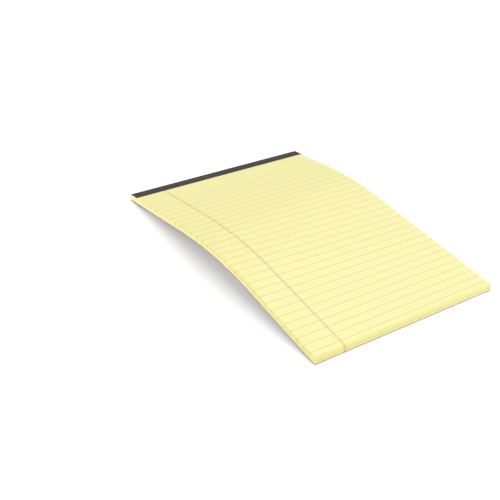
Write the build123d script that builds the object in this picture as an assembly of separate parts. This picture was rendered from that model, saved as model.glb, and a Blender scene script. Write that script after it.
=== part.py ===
from build123d import *
from math import cos, radians, sin
import os

# A letter-size ruled writing pad: a block of trimmed sheets on a chipboard back, held at the
# head by wire stitches and a strip of binding tape.
#
# The pad lies face up on the floor with the head towards +Y and the left margin towards -X.
# It has taken a bow along its length, fuller on the left than on the right, so that it stands
# on two straight edges: the foot edge of the board and the bound head. The head itself is flat.

# Pad
pad_width = 215.9
pad_length = 298.45

# Layers, measured square to the pad
board_thickness = 0.8
sheet_thickness = 0.114
sheet_count = 50
sheets_thickness = sheet_thickness * sheet_count
pad_thickness = board_thickness + sheets_thickness

# Bow: each side is a straight foot run, one arc and a straight head run
head_slope = radians(8.6)
left_foot_slope = radians(8.6)
left_head_run = 92.5
right_foot_slope = radians(4.2)
right_head_run = 57.0

# Foot of the sheets: the upper sheets lie a little further back, and their edge is eased
foot_fan = 1.2
foot_round = 1.4

# Binding tape, folded once over the head
tape_thickness = 0.2
tape_front = 11.6
tape_back = 20.0

# Bound head: flat as far as the tape reaches
bound_run = max(tape_front, tape_back)

# Wire stitches, of flat wire bent to a middle-line radius
stitch_count = 4
stitch_from_side = 27.0
stitch_from_head = 6.0
stitch_spacing = (pad_width - 2 * stitch_from_side) / (stitch_count - 1)
wire_width = 0.6
wire_thickness = 0.4
wire_bend = 0.35
crown_width = 12.7
clinch_length = 4.0


# The flat head: x runs across the pad, y towards the head edge and z up through the layers
head_place = Location(
    Plane(
        origin=(0, 0, tape_thickness),
        x_dir=(1, 0, 0),
        z_dir=(0, sin(head_slope), cos(head_slope)),
    )
)


class SideLine:
    """The bottom line of the pad along one side, from the foot edge to the head edge."""

    def __init__(self, x, foot_slope, head_run):
        self.x = x
        self.foot_slope = foot_slope
        self.turn = foot_slope + head_slope
        self.radius = (
            (pad_length - head_run) * sin(foot_slope) - head_run * sin(head_slope) - tape_thickness
        ) / (cos(foot_slope) - cos(head_slope) + self.turn * sin(foot_slope))
        self.head_run = head_run
        self.foot_run = pad_length - head_run - self.radius * self.turn

    def at_head(self, back, up):
        """A point by its distance back from the head edge and up from the bottom line."""
        return (head_place * Pos(self.x, -back, up)).position

    def on_arc(self, share, up):
        """A point above the arc, at a share of the turn counted from the head end."""
        centre = self.at_head(self.head_run, -self.radius)
        angle = head_slope - share * self.turn
        reach = self.radius + up
        return centre + Vector(0, sin(angle), cos(angle)) * reach

    def at_foot(self, forward, up):
        """A point by its distance forward of the arc, down the straight foot run."""
        step = Vector(0, -cos(self.foot_slope), -sin(self.foot_slope))
        return self.on_arc(1, up) + step * forward

    def foot_end(self, up):
        """How far forward of the arc a layer ends, as each layer is as long as the pad."""
        return self.foot_run - self.turn * up


left_side = SideLine(-pad_width / 2, left_foot_slope, left_head_run)
right_side = SideLine(pad_width / 2, right_foot_slope, right_head_run)


def layer_outline(side, low, high, fan, foot_round):
    """The side view of a layer short of the bound head, its upper foot edge set back and rounded."""
    end_low = side.foot_end(low)
    end_high = side.foot_end(high) - fan
    foot_low = side.at_foot(end_low, low)
    foot_high = side.at_foot(end_high, high)
    edges = [
        Line(foot_low, side.on_arc(1, low)),
        ThreePointArc(side.on_arc(1, low), side.on_arc(0.5, low), side.on_arc(0, low)),
        Line(side.on_arc(0, low), side.at_head(bound_run, low)),
        Line(side.at_head(bound_run, low), side.at_head(bound_run, high)),
        Line(side.at_head(bound_run, high), side.on_arc(0, high)),
        ThreePointArc(side.on_arc(0, high), side.on_arc(0.5, high), side.on_arc(1, high)),
    ]
    if foot_round:
        top_start = side.at_foot(end_high - foot_round, high)
        face_way = (foot_low - foot_high).normalized()
        face_start = foot_high + face_way * foot_round
        top_way = (foot_high - top_start).normalized()
        edges.append(Line(side.on_arc(1, high), top_start))
        edges.append(TangentArc(top_start, face_start, tangent=top_way))
        edges.append(Line(face_start, foot_low))
    else:
        edges.append(Line(side.on_arc(1, high), foot_high))
        edges.append(Line(foot_high, foot_low))
    return make_face(Wire(edges))


def stitched_head(low, high):
    """The flat head of a layer between two heights, where the stitches grip it without play."""
    head = Box(pad_width, bound_run, high - low, align=(Align.CENTER, Align.MAX, Align.MIN))
    head = head_place * Pos(0, 0, low) * head
    for place in stitch_places:
        head -= wire_stitch(place)
    return head


def pad_layer(low, high, fan=0, foot_round=0):
    """A whole layer: the bowed length, from its left outline to its right one, and the head."""
    outlines = [layer_outline(side, low, high, fan, foot_round) for side in (left_side, right_side)]
    return loft(outlines, ruled=True) + stitched_head(low, high)


def wire_stitch(place):
    """One staple: a crown on the top sheet, two legs and two ends clinched under the board."""
    half_crown = crown_width / 2
    crown_height = pad_thickness - wire_thickness / 2
    clinch_height = wire_thickness / 2
    corners = [
        (clinch_length - half_crown, clinch_height),
        (-half_crown, clinch_height),
        (-half_crown, crown_height),
        (half_crown, crown_height),
        (half_crown, clinch_height),
        (half_crown - clinch_length, clinch_height),
    ]
    path = Plane.XZ * FilletPolyline(*corners, radius=wire_bend)
    section = Plane(origin=path @ 0, x_dir=(0, 1, 0), z_dir=path % 0)
    return place * sweep(section * Rectangle(wire_width, wire_thickness), path=path)


def binding_tape():
    """The tape: flat on the first sheet, round the head edge and flat on the back."""
    side = left_side
    tip_front = side.at_head(tape_front, pad_thickness)
    top_corner = side.at_head(0, pad_thickness)
    bottom_corner = side.at_head(0, 0)
    tip_back = side.at_head(tape_back, 0)
    over = Vector(0, sin(head_slope), cos(head_slope)) * tape_thickness
    beyond = Vector(0, cos(head_slope), -sin(head_slope)) * tape_thickness
    corner = (over + beyond).normalized() * tape_thickness
    corner_low = (beyond - over).normalized() * tape_thickness
    edges = [
        Line(tip_front, top_corner),
        Line(top_corner, bottom_corner),
        Line(bottom_corner, tip_back),
        Line(tip_back, tip_back - over),
        Line(tip_back - over, bottom_corner - over),
        ThreePointArc(bottom_corner - over, bottom_corner + corner_low, bottom_corner + beyond),
        Line(bottom_corner + beyond, top_corner + beyond),
        ThreePointArc(top_corner + beyond, top_corner + corner, top_corner + over),
        Line(top_corner + over, tip_front + over),
        Line(tip_front + over, tip_front),
    ]
    return extrude(make_face(Wire(edges)), amount=pad_width, dir=(1, 0, 0))


stitch_places = [
    head_place * Pos((index - (stitch_count - 1) / 2) * stitch_spacing, -stitch_from_head, 0)
    for index in range(stitch_count)
]

pieces = {
    "backing_board": pad_layer(0, board_thickness),
    "ruled_sheets": pad_layer(board_thickness, pad_thickness, foot_fan, foot_round),
    "binding_tape": binding_tape(),
}
for number, place in enumerate(stitch_places, start=1):
    pieces[f"wire_stitch_{number}"] = wire_stitch(place)

# The origin is under the middle of the pad, on the floor
box = Compound([piece.solid() for piece in pieces.values()]).bounding_box()
middle = Pos(-box.center().X, -box.center().Y, -box.min.Z)

os.makedirs("parts", exist_ok=True)
for name, piece in pieces.items():
    export_step(middle * piece, f"parts/{name}.step")
print(f"left arc radius {left_side.radius:.1f}, foot run {left_side.foot_run:.1f}")
print(f"right arc radius {right_side.radius:.1f}, foot run {right_side.foot_run:.1f}")
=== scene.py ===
import random
from math import cos, pi, radians, sin, sqrt

import bpy
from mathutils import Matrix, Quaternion, Vector


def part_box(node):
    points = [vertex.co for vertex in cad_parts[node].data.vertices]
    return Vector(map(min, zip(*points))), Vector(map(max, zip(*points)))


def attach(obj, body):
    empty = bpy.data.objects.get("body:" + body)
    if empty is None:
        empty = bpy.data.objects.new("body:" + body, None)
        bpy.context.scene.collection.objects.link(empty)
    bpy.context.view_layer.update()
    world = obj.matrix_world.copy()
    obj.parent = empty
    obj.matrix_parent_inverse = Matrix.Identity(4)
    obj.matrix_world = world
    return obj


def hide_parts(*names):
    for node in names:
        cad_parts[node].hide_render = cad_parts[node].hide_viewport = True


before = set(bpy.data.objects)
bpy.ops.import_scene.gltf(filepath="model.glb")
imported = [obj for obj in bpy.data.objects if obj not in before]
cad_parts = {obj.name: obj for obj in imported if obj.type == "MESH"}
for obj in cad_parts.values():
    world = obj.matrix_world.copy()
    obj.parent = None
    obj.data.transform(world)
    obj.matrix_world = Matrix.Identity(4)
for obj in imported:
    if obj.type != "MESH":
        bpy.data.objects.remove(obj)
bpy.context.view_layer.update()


# The backing board: one stiff sheet of grey-brown chipboard, pressed from waste paper and trimmed
# with the sheets. It has taken a bow along its length, fuller on the left than on the right, and
# stays flat only at the bound head. Every layer above it follows the same bow on a larger arc.
pad_width = 0.2159
pad_length = 0.29845
board_thickness = 0.0008
head_slope = radians(8.6)
left_foot_slope = radians(8.6)
left_head_run = 0.0925
right_foot_slope = radians(4.2)
right_head_run = 0.0570
head_rows = 16
arc_rows = 34
foot_rows = 16
pad_rows = head_rows + arc_rows + foot_rows
board_columns = 8
crushed_edge = 0.00012
smooth_up_to = radians(40)
board_dark = (0.27, 0.22, 0.17, 1)
board_light = (0.35, 0.295, 0.235, 1)
dark_fleck = (0.10, 0.085, 0.07, 1)
dark_fleck_size = 0.16
dark_fleck_strength = 0.7
pale_fleck = (0.42, 0.37, 0.31, 1)
pale_fleck_from = 0.62
pale_fleck_strength = 0.5
fleck_raggedness = 0.002
cloud_in_height = 0.4

# The head rests on the tape that is folded under it
tape_thickness = 0.0002
board_top_at_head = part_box("backing_board")[1]
head_edge_y = board_top_at_head[1] - board_thickness * sin(head_slope)


class SideLine:
    """The line under one side of the pad, from the head edge to the foot edge."""

    def __init__(self, foot_slope, head_run):
        self.foot_slope = foot_slope
        self.head_run = head_run
        self.turn = foot_slope + head_slope
        self.radius = (
            (pad_length - head_run) * sin(foot_slope) - head_run * sin(head_slope) - tape_thickness
        ) / (cos(foot_slope) - cos(head_slope) + self.turn * sin(foot_slope))

    def at_head(self, back, up):
        """A point by its distance back from the head edge and up from the line."""
        y = head_edge_y - back * cos(head_slope) + up * sin(head_slope)
        z = tape_thickness + back * sin(head_slope) + up * cos(head_slope)
        return Vector((0, y, z))

    def on_arc(self, share, up):
        """A point above the arc, at a share of its turn counted from the head end."""
        angle = head_slope - share * self.turn
        centre = self.at_head(self.head_run, -self.radius)
        return centre + Vector((0, sin(angle), cos(angle))) * (self.radius + up)

    def row(self, number, up, length):
        """The point of one row of the mesh, and how far along the paper it is from the head."""
        if number <= head_rows:
            back = self.head_run * number / head_rows
            return self.at_head(back, up), back
        arc_length = (self.radius + up) * self.turn
        if number <= head_rows + arc_rows:
            share = (number - head_rows) / arc_rows
            return self.on_arc(share, up), self.head_run + share * arc_length
        share = (number - head_rows - arc_rows) / foot_rows
        forward = share * (length - self.head_run - arc_length)
        step = Vector((0, -cos(self.foot_slope), -sin(self.foot_slope)))
        return self.on_arc(1, up) + step * forward, self.head_run + arc_length + forward


left_side = SideLine(left_foot_slope, left_head_run)
right_side = SideLine(right_foot_slope, right_head_run)


def pad_point(row, x, up, length):
    """A point of the bowed pad, and its place on the paper: from the left and from the head."""
    left_point, left_back = left_side.row(row, up, length)
    right_point, right_back = right_side.row(row, up, length)
    share = x / pad_width + 0.5
    point = left_point.lerp(right_point, share)
    point.x = x
    return point, (x + pad_width / 2, left_back + (right_back - left_back) * share)


def slab_faces(first, columns):
    """A closed slab: its upper and lower faces, then its rim, down the left side, across the
    foot, up the right side and back across the head."""
    across = columns + 1
    layer = (pad_rows + 1) * across
    faces = []
    for row in range(pad_rows):
        for column in range(columns):
            start = first + row * across + column
            square = [start, start + across, start + across + 1, start + 1]
            faces.append([layer + corner for corner in square])
            faces.append(square[::-1])
    rim = [first + row * across for row in range(pad_rows)]
    rim += [first + pad_rows * across + column for column in range(columns)]
    rim += [first + row * across + columns for row in range(pad_rows, 0, -1)]
    rim += [first + column for column in range(columns, 0, -1)]
    for index, here in enumerate(rim):
        after = rim[(index + 1) % len(rim)]
        faces.append([layer + here, here, after, layer + after])
    return faces


def new_piece(name, points, faces, materials):
    """A mesh object in the pad's frame, smooth but for its sharp edges."""
    mesh = bpy.data.meshes.new(name)
    mesh.from_pydata(points, [], faces)
    for material in materials:
        mesh.materials.append(material)
    mesh.shade_smooth()
    mesh.set_sharp_from_angle(angle=smooth_up_to)
    piece = bpy.data.objects.new(name, mesh)
    bpy.context.scene.collection.objects.link(piece)
    return piece


def new_group(name, inputs, outputs):
    """A shader node group with named sockets; an input is a name, a kind and a first value."""
    group = bpy.data.node_groups.new(name, "ShaderNodeTree")
    for label, kind, value in inputs:
        socket = group.interface.new_socket(label, in_out="INPUT", socket_type=kind)
        socket.default_value = value
    for label in outputs:
        group.interface.new_socket(label, in_out="OUTPUT", socket_type="NodeSocketFloat")
    given = group.nodes.new("NodeGroupInput").outputs
    result = group.nodes.new("NodeGroupOutput").inputs
    return group, given, result


def add_node(tree, kind, settings=None, **values):
    """A node with its settings, and its sockets set or joined by name, or by s and a number."""
    node = tree.nodes.new(kind)
    for label, value in (settings or {}).items():
        setattr(node, label, value)
    for label, value in values.items():
        by_number = label[1:].isdigit()
        socket = node.inputs[int(label[1:]) if by_number else label.replace("_", " ")]
        if isinstance(value, bpy.types.NodeSocket):
            tree.links.new(value, socket)
        else:
            socket.default_value = value
    return node


def calculate(tree, operation, first, second=0.0):
    """One step of arithmetic."""
    settings = {"operation": operation}
    return add_node(tree, "ShaderNodeMath", settings, s0=first, s1=second).outputs[0]


def lay_over(tree, share, under, over, way="MIX"):
    """One colour laid over another by a share."""
    settings = {"data_type": "RGBA", "blend_type": way}
    return add_node(tree, "ShaderNodeMix", settings, s0=share, s6=under, s7=over).outputs[2]


def make_fibres():
    """Pressed fibres: a slow cloudiness, a fine speckle and the height of the surface."""
    group, given, result = new_group(
        "Pressed fibres",
        [
            ("Cloud Scale", "NodeSocketFloat", 60.0),
            ("Fibre Scale", "NodeSocketFloat", 900.0),
            ("Stretch", "NodeSocketVector", (1.0, 1.0, 1.0)),
        ],
        ["Cloud", "Speckle", "Height"],
    )
    place = add_node(group, "ShaderNodeTexCoord").outputs["Object"]
    stretched = add_node(
        group,
        "ShaderNodeVectorMath",
        {"operation": "MULTIPLY"},
        s0=place,
        s1=given["Stretch"],
    ).outputs[0]
    cloud = add_node(
        group,
        "ShaderNodeTexNoise",
        Vector=place,
        Scale=given["Cloud Scale"],
        Detail=4.0,
        Roughness=0.6,
    ).outputs[0]
    fibre = add_node(
        group,
        "ShaderNodeTexNoise",
        Vector=stretched,
        Scale=given["Fibre Scale"],
        Detail=5.0,
        Roughness=0.65,
    ).outputs[0]
    cloud_height = calculate(group, "MULTIPLY", cloud, cloud_in_height)
    height = calculate(group, "ADD", cloud_height, fibre)
    group.links.new(cloud, result["Cloud"])
    group.links.new(fibre, result["Speckle"])
    group.links.new(height, result["Height"])
    return group


pressed_fibres = make_fibres()


def place_group(tree, group, **values):
    """A group placed in a material, its sockets set or joined by name."""
    return add_node(tree, "ShaderNodeGroup", {"node_tree": group}, **values).outputs


def new_material(name, specular):
    """A material with its node tree and its shader."""
    material = bpy.data.materials.new(name)
    material.use_nodes = True
    shader = material.node_tree.nodes["Principled BSDF"]
    shader.inputs["Specular IOR Level"].default_value = specular
    return material, material.node_tree, shader


def add_relief(tree, shader, height, distance, strength):
    """Fine relief of the surface."""
    relief = add_node(tree, "ShaderNodeBump", Height=height, Distance=distance, Strength=strength)
    tree.links.new(relief.outputs[0], shader.inputs["Normal"])


def vary_roughness(tree, shader, share, smoothest, roughest):
    """A roughness that changes along a share."""
    rough = add_node(tree, "ShaderNodeMapRange", Value=share, To_Min=smoothest, To_Max=roughest)
    tree.links.new(rough.outputs[0], shader.inputs["Roughness"])


def make_chipboard():
    """Recycled board: cloudy grey-brown with pale fibres and ragged dark flecks."""
    material, tree, shader = new_material("grey chipboard", specular=0.2)
    fibres = place_group(
        tree, pressed_fibres, Cloud_Scale=120.0, Fibre_Scale=1800.0, Stretch=(1.0, 0.35, 1.0)
    )
    place = add_node(tree, "ShaderNodeTexCoord").outputs["Object"]
    ragged = calculate(tree, "MULTIPLY", fibres["Speckle"], fleck_raggedness)
    shifted = add_node(tree, "ShaderNodeVectorMath", {"operation": "ADD"}, s0=place, s1=ragged)
    flecks = add_node(tree, "ShaderNodeTexVoronoi", Vector=shifted.outputs[0], Scale=700.0)
    dark = calculate(tree, "LESS_THAN", flecks.outputs["Distance"], dark_fleck_size)
    dark = calculate(tree, "MULTIPLY", dark, dark_fleck_strength)
    pale = calculate(tree, "GREATER_THAN", fibres["Speckle"], pale_fleck_from)
    pale = calculate(tree, "MULTIPLY", pale, pale_fleck_strength)
    colour = lay_over(tree, fibres["Cloud"], board_dark, board_light)
    colour = lay_over(tree, dark, colour, dark_fleck)
    colour = lay_over(tree, pale, colour, pale_fleck)
    tree.links.new(colour, shader.inputs["Base Color"])
    vary_roughness(tree, shader, fibres["Speckle"], smoothest=0.85, roughest=0.97)
    add_relief(tree, shader, fibres["Height"], distance=0.00006, strength=0.7)
    return material


board_points = []
for up in (0, board_thickness):
    for row in range(pad_rows + 1):
        for column in range(board_columns + 1):
            x = pad_width * (column / board_columns - 0.5)
            board_points.append(pad_point(row, x, up, pad_length)[0])
board_faces = slab_faces(0, board_columns)
board = new_piece("chipboard_back", board_points, board_faces, [make_chipboard()])
crushed = board.modifiers.new("crushed edge", "BEVEL")
crushed.width = crushed_edge
crushed.segments = 2
crushed.limit_method = "ANGLE"
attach(board, "root")
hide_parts("backing_board")


# The ruled sheets: fifty leaves of yellow writing paper, printed with faint rules and a double
# margin line that run off the trimmed edges. They are gathered, trimmed together and bound at
# the head; at the foot the upper leaves draw back over the bow, and handling eases their edges.
sheet_count = 50
sheet_pitch = 0.000114
sheet_body = 0.000104
sheet_columns = 8
foot_set_back = 0.0019
set_back_curve = 1.5
side_round = 0.0008
ease_fade = 0.02
trim_play = 0.00003
print_play = 0.0003
settle_depth = 0.00022
settle_fade = 0.05
bound_head = 0.0116
rule_count = 29
rule_pitch = 0.00902
rule_width = 0.0005
first_rule = 0.0391
margin_from_left = 0.0322
margin_gap = 0.0014
margin_width = 0.0005
paper_yellow = (0.84, 0.79, 0.37, 1)
paper_cloudiness = 0.5
fibre_tint = (0.97, 0.955, 0.90, 1)
# Tint of the knife marks and leaf tones, and of the painted shade towards one end of an edge
edge_mark_and_shade_tint = (0.87, 0.86, 0.78, 1)
rule_ink = (0.65, 0.63, 0.32, 1)
edge_ink = (0.44, 0.41, 0.28, 1)
margin_ink = (0.57, 0.40, 0.32, 1)
# Side edge tones up the pad: the edge yellow with painted light, paler at the lowest leaves
side_tones_and_painted_light = [
    (0, (0.98, 0.93, 0.62, 1)),
    (0.3, (0.98, 0.91, 0.48, 1)),
    (0.6, (0.98, 0.88, 0.365, 1)),
]
# Foot edge tones up the pad: the edge yellow with painted light, a painted highlight at the top
foot_tones_and_painted_light = [
    (0, (0.95, 0.89, 0.57, 1)),
    (0.3, (0.95, 0.87, 0.44, 1)),
    (0.5, (0.94, 0.85, 0.315, 1)),
    (0.7, (0.98, 0.90, 0.35, 1)),
    (0.85, (1, 0.97, 0.45, 1)),
]
knife_mark_height = 0.0012
knife_mark_shade = 0.28
leaf_tone_shade = 0.32
# How deep the painted shade grows at the darker end of a trimmed edge
painted_edge_shade = 0.6
pad_thickness = board_thickness + sheet_count * sheet_pitch
chance = random.Random(29)

# How far from its middle a printed line stays full, and where it ends, as shares of its width
full_ink_to = 0.3
no_ink_from = 0.7

# Slow waves in the paper: how fast each runs across and along the pad, and where it starts
slow_waves = [(31, 11, 0.6), (-13, 47, 2.1)]

# Painted shade on the trimmed edges, by distance along the edge: where it starts and is full
# It darkens the sides towards the foot and the foot edge towards the left
side_painted_shade = ("Y", 0.05, 0.28)
foot_painted_shade = ("X", pad_width, 0)


def eased(up):
    """How far the rounded upper side edge has drawn in at a height in the pad."""
    over = max(0, up - (pad_thickness - side_round))
    return side_round - sqrt(side_round**2 - over**2)


def freed(back, fade):
    """How free the paper is, from 0 at the bound head to 1 where a fade below it ends."""
    return min(1, max(0, (back - bound_head) / fade))


def settled(x, back, up):
    """How far the paper has settled: slow waves that fade out at the bound head and the board."""
    swings = [sin(x * across + back * along + start) for across, along, start in slow_waves]
    wave = (1 + sum(swings) / len(swings)) / 2
    height = (up - board_thickness) / (pad_thickness - board_thickness)
    return settle_depth * wave * freed(back, settle_fade) * height


def leaf_points(number):
    """One leaf, trimmed with a little play: its points, and each point's place in the print."""
    low = board_thickness + number * sheet_pitch
    share = number / (sheet_count - 1)
    side_shift = chance.uniform(-trim_play, trim_play)
    length = pad_length - foot_set_back * max(0, 2 * share - 1) ** set_back_curve
    length += chance.uniform(-trim_play, trim_play)
    print_right = chance.uniform(-print_play, print_play)
    print_down = chance.uniform(-print_play, print_play)
    if number == sheet_count - 1:
        print_right, print_down = 0, 0
    points, places = [], []
    for up in (low, low + sheet_body):
        for row in range(pad_rows + 1):
            middle_back = pad_point(row, 0, up, length)[1][1]
            free = freed(middle_back, ease_fade)
            half = pad_width / 2 - eased(low + sheet_body / 2) * free
            for column in range(sheet_columns + 1):
                x = side_shift * free + half * (2 * column / sheet_columns - 1)
                x = max(-pad_width / 2, min(pad_width / 2, x))
                point, (from_left, from_head) = pad_point(row, x, up, length)
                point.z -= settled(x, from_head, up)
                points.append(point)
                places.append((from_left + print_right, from_head + print_down, share))
    return points, places


def make_printed_lines():
    """Parallel printed lines: how much ink lies at a distance across them."""
    group, given, result = new_group(
        "Printed lines",
        [
            ("Distance", "NodeSocketFloat", 0.0),
            ("First", "NodeSocketFloat", 0.03),
            ("Pitch", "NodeSocketFloat", 0.009),
            ("Last", "NodeSocketFloat", 0.29),
            ("Width", "NodeSocketFloat", 0.0003),
            ("Unevenness", "NodeSocketFloat", 0.0),
        ],
        ["Ink"],
    )
    distance = given["Distance"]
    steps = calculate(group, "SUBTRACT", distance, given["First"])
    steps = calculate(group, "DIVIDE", steps, given["Pitch"])
    off_line = calculate(group, "SUBTRACT", steps, calculate(group, "ROUND", steps))
    off_line = calculate(group, "MULTIPLY", calculate(group, "ABSOLUTE", off_line), given["Pitch"])
    spread = add_node(
        group,
        "ShaderNodeMapRange",
        {"interpolation_type": "SMOOTHSTEP"},
        Value=off_line,
        From_Min=calculate(group, "MULTIPLY", given["Width"], full_ink_to),
        From_Max=calculate(group, "MULTIPLY", given["Width"], no_ink_from),
        To_Min=1.0,
        To_Max=0.0,
    ).outputs[0]
    half_pitch = calculate(group, "MULTIPLY", given["Pitch"], 0.5)
    start = calculate(group, "SUBTRACT", given["First"], half_pitch)
    end = calculate(group, "ADD", given["Last"], half_pitch)
    after = calculate(group, "GREATER_THAN", distance, start)
    before = calculate(group, "LESS_THAN", distance, end)
    printed = calculate(group, "MULTIPLY", calculate(group, "MULTIPLY", after, before), spread)
    place = add_node(group, "ShaderNodeTexCoord").outputs["Object"]
    speckle = add_node(group, "ShaderNodeTexNoise", Vector=place, Scale=2600.0, Detail=2.0)
    thin = calculate(group, "MULTIPLY", speckle.outputs[0], given["Unevenness"])
    ink = calculate(group, "MULTIPLY", printed, calculate(group, "SUBTRACT", 1.0, thin))
    group.links.new(ink, result["Ink"])
    return group


def make_trimmed_leaves_and_shade():
    """The look of gathered edges: knife marks across them, each leaf its own tone, and painted
    shade that darkens the edges towards one end."""
    group, given, result = new_group(
        "Trimmed leaves and painted shade",
        [
            ("Along", "NodeSocketFloat", 0.0),
            ("Sheet", "NodeSocketFloat", 0.0),
            ("Closed At", "NodeSocketFloat", 0.0),
            ("Open At", "NodeSocketFloat", 1.0),
        ],
        ["Shade"],
    )
    along = given["Along"]
    across = calculate(group, "MULTIPLY", given["Sheet"], knife_mark_height)
    place = add_node(group, "ShaderNodeCombineXYZ", X=along, Y=across).outputs[0]
    flat = {"noise_dimensions": "2D"}
    bands = add_node(group, "ShaderNodeTexNoise", flat, Vector=place, Scale=70.0, Detail=2.0)
    streaks = add_node(group, "ShaderNodeTexNoise", flat, Vector=place, Scale=1100.0, Detail=3.0)
    marks = add_node(
        group,
        "ShaderNodeMapRange",
        Value=calculate(group, "ADD", bands.outputs[0], streaks.outputs[0]),
        From_Min=0.6,
        From_Max=1.4,
        To_Max=knife_mark_shade,
    ).outputs[0]
    leaf = add_node(group, "ShaderNodeTexWhiteNoise", {"noise_dimensions": "1D"}, W=given["Sheet"])
    leaf_tone = calculate(group, "MULTIPLY", leaf.outputs["Value"], leaf_tone_shade)
    # Painted shade, growing along the edge between two given distances
    painted_shade = add_node(
        group,
        "ShaderNodeMapRange",
        Value=along,
        From_Min=given["Closed At"],
        From_Max=given["Open At"],
        To_Max=painted_edge_shade,
    ).outputs[0]
    shade = calculate(group, "ADD", calculate(group, "ADD", marks, leaf_tone), painted_shade)
    group.links.new(shade, result["Shade"])
    return group


printed_lines = make_printed_lines()
trimmed_leaves_and_shade = make_trimmed_leaves_and_shade()


def add_tones(tree, share, tones_with_light):
    """A colour that changes from the lowest leaf to the top one."""
    ramp = add_node(tree, "ShaderNodeValToRGB", Fac=share)
    ramp.color_ramp.interpolation = "EASE"
    ramp.color_ramp.elements.remove(ramp.color_ramp.elements[1])
    ramp.color_ramp.elements[0].position = tones_with_light[0][0]
    ramp.color_ramp.elements[0].color = tones_with_light[0][1]
    for position, colour in tones_with_light[1:]:
        ramp.color_ramp.elements.new(position).color = colour
    return ramp.outputs[0]


def make_ruled_paper(name, ink, tones_with_light=None, painted_shade=None):
    """Uncoated yellow paper and its print; an edge adds tones with painted light, marks and painted
    shade.
    """
    material, tree, shader = new_material(name, specular=0.5)
    place = add_node(tree, "ShaderNodeAttribute", {"attribute_name": "paper_place"})
    parts = add_node(tree, "ShaderNodeSeparateXYZ", Vector=place.outputs["Vector"]).outputs
    fibres = place_group(tree, pressed_fibres, Cloud_Scale=38.0, Fibre_Scale=1500.0)
    rules = place_group(
        tree,
        printed_lines,
        Distance=parts["Y"],
        First=first_rule,
        Pitch=rule_pitch,
        Last=first_rule + (rule_count - 1) * rule_pitch,
        Width=rule_width,
        Unevenness=0.35,
    )
    margin = place_group(
        tree,
        printed_lines,
        Distance=parts["X"],
        First=margin_from_left,
        Pitch=margin_gap,
        Last=margin_from_left + margin_gap,
        Width=margin_width,
        Unevenness=0.3,
    )
    # An edge's tones hold painted light: paler low down and, on the foot, a painted highlight
    colour = add_tones(tree, parts["Z"], tones_with_light) if tones_with_light else paper_yellow
    cloudy = calculate(tree, "MULTIPLY", fibres["Cloud"], paper_cloudiness)
    colour = lay_over(tree, cloudy, colour, fibre_tint, "MULTIPLY")
    # A trimmed edge: knife marks and leaf tones, with painted shade towards one end
    if painted_shade:
        along, unshaded_at, shaded_at = painted_shade
        leaves_and_shade = place_group(
            tree,
            trimmed_leaves_and_shade,
            Along=parts[along],
            Sheet=parts["Z"],
            Closed_At=unshaded_at,
            Open_At=shaded_at,
        )
        colour = lay_over(tree, leaves_and_shade["Shade"], colour, edge_mark_and_shade_tint, "MULTIPLY")
    showing = calculate(tree, "MULTIPLY", rules["Ink"], parts["Z"])
    colour = lay_over(tree, showing, colour, ink, "MULTIPLY")
    colour = lay_over(tree, margin["Ink"], colour, margin_ink, "MULTIPLY")
    tree.links.new(colour, shader.inputs["Base Color"])
    vary_roughness(tree, shader, fibres["Speckle"], smoothest=0.45, roughest=0.55)
    add_relief(tree, shader, fibres["Height"], distance=0.00003, strength=0.5)
    return material


sheet_points, sheet_places, sheet_faces = [], [], []
for number in range(sheet_count):
    sheet_faces += slab_faces(len(sheet_points), sheet_columns)
    points, places = leaf_points(number)
    sheet_points += points
    sheet_places += places
paper_materials = [
    make_ruled_paper("ruled paper", rule_ink),
    make_ruled_paper("trimmed side edge", edge_ink, side_tones_and_painted_light, side_painted_shade),
    make_ruled_paper("trimmed foot edge", edge_ink, foot_tones_and_painted_light, foot_painted_shade),
]
printed_face, side_edge, foot_edge = range(len(paper_materials))
sheets = new_piece("ruled_sheet_leaves", sheet_points, sheet_faces, paper_materials)

# The leaf's faces in the order of slab_faces; the head edge has the look of a side edge
leaf_finish = [printed_face] * (2 * pad_rows * sheet_columns)
leaf_finish += [side_edge] * pad_rows
leaf_finish += [foot_edge] * sheet_columns
leaf_finish += [side_edge] * (pad_rows + sheet_columns)
sheets.data.polygons.foreach_set("material_index", leaf_finish * sheet_count)
paper_place = sheets.data.attributes.new("paper_place", "FLOAT_VECTOR", "POINT")
for index, place in enumerate(sheet_places):
    paper_place.data[index].vector = place
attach(sheets, "root")
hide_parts("ruled_sheets")


# The wire stitches: four staples of flat tinned wire, driven through the sheets and the board and
# clinched at the back. The tape hides them.
wire_dull = (0.55, 0.55, 0.56, 1)
wire_bright = (0.72, 0.72, 0.72, 1)


def make_wire():
    """Drawn tinned wire, brushed along its length."""
    material, tree, shader = new_material("tinned wire", specular=0.5)
    drawn = place_group(
        tree, pressed_fibres, Cloud_Scale=200.0, Fibre_Scale=3000.0, Stretch=(0.1, 1.0, 1.0)
    )
    colour = lay_over(tree, drawn["Speckle"], wire_dull, wire_bright)
    tree.links.new(colour, shader.inputs["Base Color"])
    shader.inputs["Metallic"].default_value = 1
    vary_roughness(tree, shader, drawn["Speckle"], smoothest=0.25, roughest=0.45)
    return material


tinned_wire = make_wire()
stitch_names = sorted(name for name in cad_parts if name.startswith("wire_stitch"))
for name in stitch_names:
    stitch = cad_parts[name]
    stitch.data.materials.clear()
    stitch.data.materials.append(tinned_wire)


# The binding tape: one strip of charcoal crepe paper tape, glued flat on the first sheet, folded
# over the head and glued down the back. It is thin enough to show the stitches as faint ridges.
tape_front = bound_head
tape_back = 0.0200
tape_steps = 240
front_steps = 3
fold_steps = 4
head_steps = 5
back_steps = 12
ridge_height = 0.00007
ridge_reach = 0.0008
ridge_steps = 8
stitch_from_head = 0.0060
crown_width = 0.0127
edge_fray = 0.00005
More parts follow.
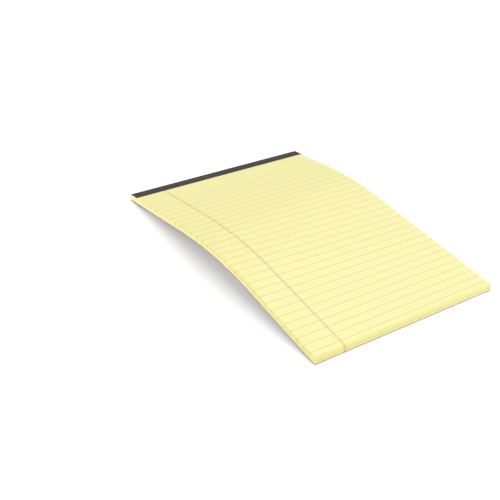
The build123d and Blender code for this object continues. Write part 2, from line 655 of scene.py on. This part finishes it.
# Painted shade in the crease hollows; the crests keep the crepe's own charcoal
painted_crease_shade = (0.032, 0.028, 0.025, 1)
crease_crest = (0.066, 0.058, 0.052, 1)
tape_rubbed = (0.084, 0.075, 0.068, 1)


def evenly(start, end, steps):
    """Places from a start towards an end, short of the end."""
    return [start + (end - start) * step / steps for step in range(steps)]


def tape_section():
    """The tape's section as (back, up) from the head edge: outside from the front, then inside."""
    top = pad_thickness
    over_stitch = stitch_from_head + ridge_reach
    before_stitch = stitch_from_head - ridge_reach
    on_front = evenly(tape_front, over_stitch, front_steps)
    on_front += evenly(over_stitch, before_stitch, ridge_steps)
    on_front += evenly(before_stitch, 0, front_steps)
    outer = [(back, top + tape_thickness) for back in on_front]
    for angle in evenly(pi / 2, 0, fold_steps):
        outer.append((-tape_thickness * cos(angle), top + tape_thickness * sin(angle)))
    outer += [(-tape_thickness, up) for up in evenly(top, 0, head_steps)]
    for angle in evenly(0, -pi / 2, fold_steps):
        outer.append((-tape_thickness * cos(angle), tape_thickness * sin(angle)))
    outer += [(back, -tape_thickness) for back in evenly(0, tape_back, back_steps)]
    outer.append((tape_back, -tape_thickness))
    return outer + [(tape_back, 0), (0, 0), (0, top), (tape_front, top)]


def ridge(x, back):
    """How much a crown under the tape lifts it, falling away smoothly on all sides."""
    nearest = min(abs(x - middle) for middle in stitch_middles)
    along = min(1, max(0, (crown_width / 2 + ridge_reach - nearest) / ridge_reach))
    over = min(1, max(0, 1 - abs(back - stitch_from_head) / ridge_reach))
    return ridge_height * along * over**2 * (3 - 2 * over)


def make_tape_material():
    """Charcoal crepe: fine creases across the strip, shade painted in their hollows, rubbed paler
    in places.
    """
    material, tree, shader = new_material("charcoal binding tape", specular=0.25)
    creases = place_group(
        tree, pressed_fibres, Cloud_Scale=90.0, Fibre_Scale=1000.0, Stretch=(2.0, 0.35, 0.35)
    )
    # Painted shade: the crease hollows darker than the crests, following the crepe's relief
    unshaded_crest = add_node(
        tree, "ShaderNodeMapRange", Value=creases["Speckle"], From_Min=0.38, From_Max=0.62
    ).outputs[0]
    rubbed = add_node(
        tree, "ShaderNodeMapRange", Value=creases["Cloud"], From_Min=0.5, From_Max=0.75, To_Max=0.35
    ).outputs[0]
    colour = lay_over(tree, unshaded_crest, painted_crease_shade, crease_crest)
    colour = lay_over(tree, rubbed, colour, tape_rubbed)
    tree.links.new(colour, shader.inputs["Base Color"])
    vary_roughness(tree, shader, creases["Speckle"], smoothest=0.6, roughest=0.85)
    add_relief(tree, shader, creases["Height"], distance=0.0004, strength=0.9)
    return material


stitch_middles = [(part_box(name)[0][0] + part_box(name)[1][0]) / 2 for name in stitch_names]
section = tape_section()
around = len(section)
tape_points = []
for step in range(tape_steps + 1):
    x = pad_width * (step / tape_steps - 0.5)
    fray = {edge: chance.uniform(-edge_fray, edge_fray) for edge in (tape_front, tape_back)}
    for back, up in section:
        lift = ridge(x, back) if up > pad_thickness else 0
        point = left_side.at_head(back + fray.get(back, 0), up + lift)
        point.x = x
        tape_points.append(point)
tape_faces = []
for start in range(0, tape_steps * around, around):
    for index in range(around):
        after = (index + 1) % around
        square = (index, after, around + after, around + index)
        tape_faces.append([start + corner for corner in square])
tape_faces.append(list(range(around))[::-1])
tape_faces.append([tape_steps * around + index for index in range(around)])
tape = new_piece("folded_binding_tape", tape_points, tape_faces, [make_tape_material()])
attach(tape, "root")
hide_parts("binding_tape")


# The floor: a wide sheet of matt white board with a faint grain. It has a glow that only the camera
# sees, painted light that keeps the shadow under the bow pale.
floor_reach = 6.0
painted_floor_glow = 0.2
floor_dark = (0.90, 0.90, 0.895, 1)
floor_light = (0.92, 0.92, 0.915, 1)


def make_floor_material():
    """Matt white board; its painted glow is seen by the camera but doesn't light the pad."""
    material, tree, shader = new_material("pale studio floor", specular=0.1)
    fibres = place_group(tree, pressed_fibres, Cloud_Scale=3.0, Fibre_Scale=200.0)
    colour = lay_over(tree, fibres["Cloud"], floor_dark, floor_light)
    tree.links.new(colour, shader.inputs["Base Color"])
    shader.inputs["Roughness"].default_value = 0.9
    by_camera = add_node(tree, "ShaderNodeLightPath").outputs["Is Camera Ray"]
    tree.links.new(by_camera, shader.inputs["Emission Color"])
    shader.inputs["Emission Strength"].default_value = painted_floor_glow
    return material


floor_sides = ((-1, -1), (1, -1), (1, 1), (-1, 1))
floor_corners = [(across * floor_reach, along * floor_reach, 0) for across, along in floor_sides]
floor = new_piece("floor", floor_corners, [[0, 1, 2, 3]], [make_floor_material()])


# The light: a bright even surround, and three wide soft lights, from the foot, from the left and
# from high on the right, a little towards the head. The surround itself is seen as white.
white = (1, 1, 1, 1)
surround_light = 0.58
surround_seen = 1.0

# Each light: the way towards it, how many degrees wide it is, and its strength
soft_lights = {
    "key light": ((0.0, -1.0, 0.9), 40, 0.85),
    "side light": ((-1.0, 0.1, 0.4), 60, 1.25),
    "back light": ((1.0, 0.3, 1.35), 30, 0.96),
}
world = bpy.data.worlds.new("studio surround")
world.use_nodes = True
sky = world.node_tree
lit = sky.nodes["Background"]
lit.inputs["Color"].default_value = white
lit.inputs["Strength"].default_value = surround_light
seen = add_node(sky, "ShaderNodeBackground", Color=white, Strength=surround_seen)
by_camera = add_node(sky, "ShaderNodeLightPath").outputs["Is Camera Ray"]
both = add_node(sky, "ShaderNodeMixShader", s0=by_camera, s1=lit.outputs[0], s2=seen.outputs[0])
sky.links.new(both.outputs[0], sky.nodes["World Output"].inputs["Surface"])
bpy.context.scene.world = world
for name, (towards, width, strength) in soft_lights.items():
    light = bpy.data.lights.new(name, "SUN")
    light.angle = radians(width)
    light.energy = strength
    lamp = bpy.data.objects.new(name, light)
    lamp.rotation_mode = "QUATERNION"
    lamp.rotation_quaternion = (-Vector(towards)).to_track_quat("-Z", "Y")
    bpy.context.scene.collection.objects.link(lamp)
bpy.context.scene.view_settings.view_transform = "Standard"


# The camera: it stands to the left of the foot and looks down along the pad, a little rolled, so
# that the pad crosses the picture from the head at the left to the foot at the right.
view_azimuth = radians(39.93)
view_elevation = radians(33.26)
view_roll = radians(6.48)
view_distance = 0.8644
view_target = Vector((-0.0655, 0.0015, 0.0120))
view_lens = 66.2
sensor_width = 36
camera_data = bpy.data.cameras.new("camera")
camera_data.sensor_width = sensor_width
camera_data.lens = view_lens
camera = bpy.data.objects.new("camera", camera_data)
level = cos(view_elevation)
forward = Vector((sin(view_azimuth) * level, cos(view_azimuth) * level, -sin(view_elevation)))
camera.location = view_target - forward * view_distance
camera.rotation_mode = "QUATERNION"
camera.rotation_quaternion = forward.to_track_quat("-Z", "Y") @ Quaternion((0, 0, 1), view_roll)
bpy.context.scene.collection.objects.link(camera)
bpy.context.scene.camera = camera
